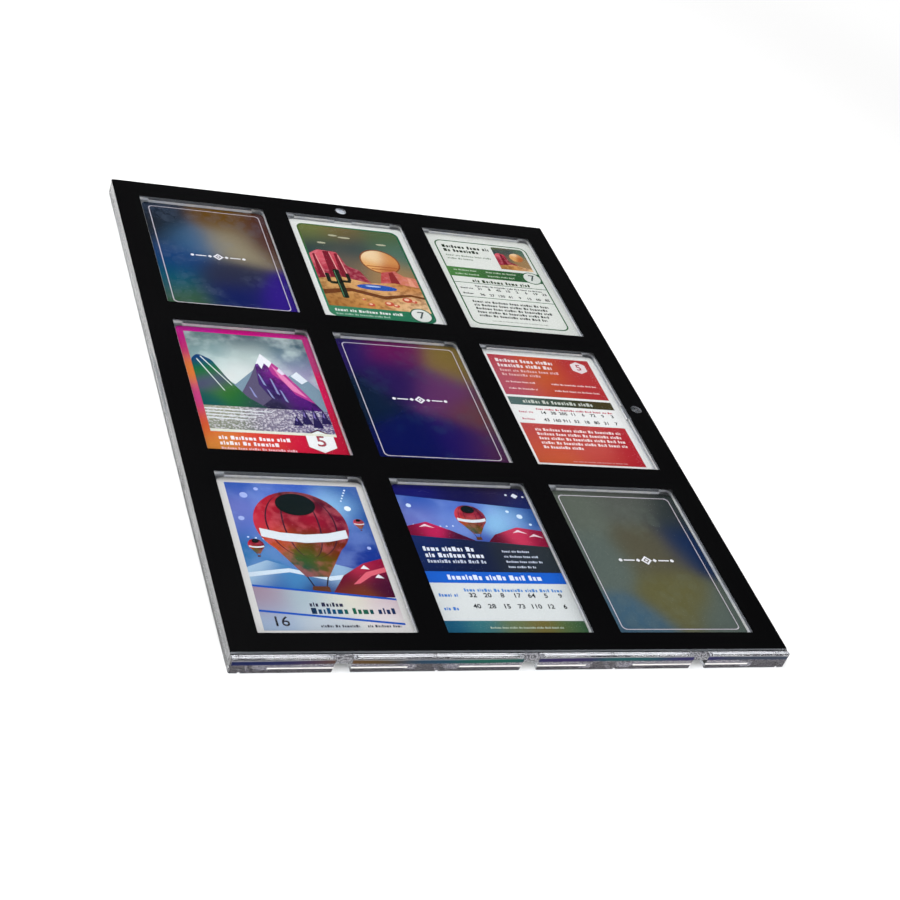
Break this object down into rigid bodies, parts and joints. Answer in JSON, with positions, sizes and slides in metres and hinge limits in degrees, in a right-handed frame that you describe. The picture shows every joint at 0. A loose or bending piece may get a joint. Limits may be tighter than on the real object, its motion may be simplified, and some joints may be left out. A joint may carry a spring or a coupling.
{
  "type": "trading card display case",
  "caption": "Flat clear display case that holds trading cards in a grid of shallow pockets, under a hinged clear lid with a black border and magnets that hold it shut.",
  "frame": {"origin": "centre of the case's back face, which lies on z = 0", "axes": "+Z out of the cards' faces, +Y towards the cards' tops, away from the hinge, +X to the right as the cards are read"},
  "size_m": [0.2432, 0.3268, 0.0076],
  "materials": {
    "tray_acrylic": "clear moulded acrylic, polished",
    "lid_acrylic": "clear moulded acrylic, polished, with frosted hinge tabs",
    "border_black": "black satin film",
    "magnet_nickel": "nickel plated",
    "printed_card": "printed card stock with a gloss varnish",
    "foil_card": "holographic foil card stock"
  },
  "bodies": {
    "tray": {"base_tray": "tray_acrylic", "base_magnet_top": "magnet_nickel", "base_magnet_side": "magnet_nickel", "card_top_left": "foil_card", "card_top_middle": "printed_card", "card_top_right": "printed_card", "card_centre_left": "printed_card", "card_centre_middle": "foil_card", "card_centre_right": "printed_card", "card_bottom_left": "printed_card", "card_bottom_middle": "printed_card", "card_bottom_right": "foil_card"},
    "lid": {"lid_cover": "lid_acrylic", "border_mask": "border_black", "lid_magnet_top": "magnet_nickel", "lid_magnet_side": "magnet_nickel"}
  },
  "joints": [
    {"name": "lid_hinge", "type": "hinge", "parent": "tray", "child": "lid", "pos_m": [0, -0.16195, 0.0065], "axis": [1, 0, 0], "range_deg": [0, 95]}
  ]
}
